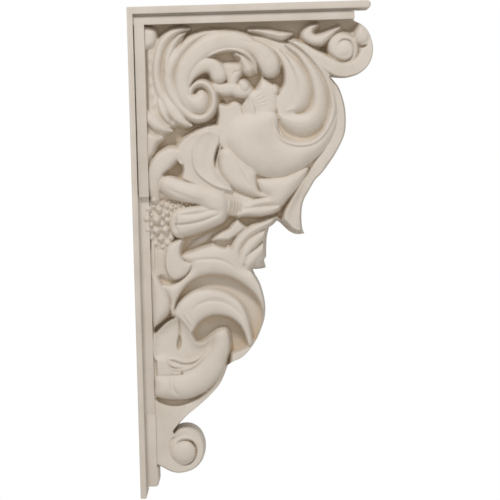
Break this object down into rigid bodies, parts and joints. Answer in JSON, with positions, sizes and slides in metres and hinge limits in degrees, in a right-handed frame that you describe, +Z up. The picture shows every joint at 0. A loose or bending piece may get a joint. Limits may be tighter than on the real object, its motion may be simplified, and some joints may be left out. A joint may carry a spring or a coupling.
{
  "type": "decorative corbel",
  "caption": "Wall corbel in one casting: flat back plate and cap, acanthus leaves, scrolls and a berry cluster carved on both cheeks, leaf-ribbed front, rolled volute at top and foot.",
  "frame": {"origin": "middle of the flat back face, where the corbel rests on the wall", "axes": "+X out from the wall to the front, +Y across the width, +Z up"},
  "size_m": [0.305, 0.152, 0.61],
  "materials": {
    "corbel": "factory-primed cast urethane, matt warm off-white"
  },
  "bodies": {
    "root": {"corbel": "corbel"}
  },
  "joints": []
}
